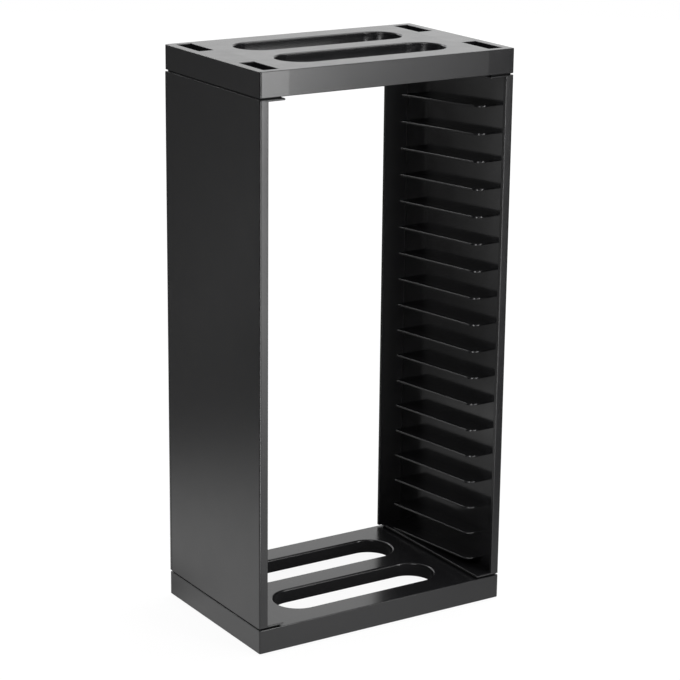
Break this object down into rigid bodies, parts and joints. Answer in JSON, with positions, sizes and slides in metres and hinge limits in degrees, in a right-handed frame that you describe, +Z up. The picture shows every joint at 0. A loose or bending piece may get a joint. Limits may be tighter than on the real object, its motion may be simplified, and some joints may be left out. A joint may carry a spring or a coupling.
{
  "type": "media storage tower",
  "caption": "Open upright rack for disc cases: two ribbed side panels plugged between a slotted top panel and a matching base, with sloping shelf ribs.",
  "frame": {"origin": "middle of the base, on the surface that the feet stand on", "axes": "+X to the right seen from the front, +Y to the back, +Z up"},
  "size_m": [0.205, 0.131, 0.4108],
  "materials": {
    "panel_plastic": "smooth satin black moulding",
    "side_plastic": "fine-grained satin black moulding",
    "foot_rubber": "matt non-slip rubber"
  },
  "bodies": {
    "root": {"base_panel": "panel_plastic", "top_panel": "panel_plastic", "left_side_panel": "side_plastic", "right_side_panel": "side_plastic", "foot_front_left": "foot_rubber", "foot_front_right": "foot_rubber", "foot_back_left": "foot_rubber", "foot_back_right": "foot_rubber"}
  },
  "joints": []
}
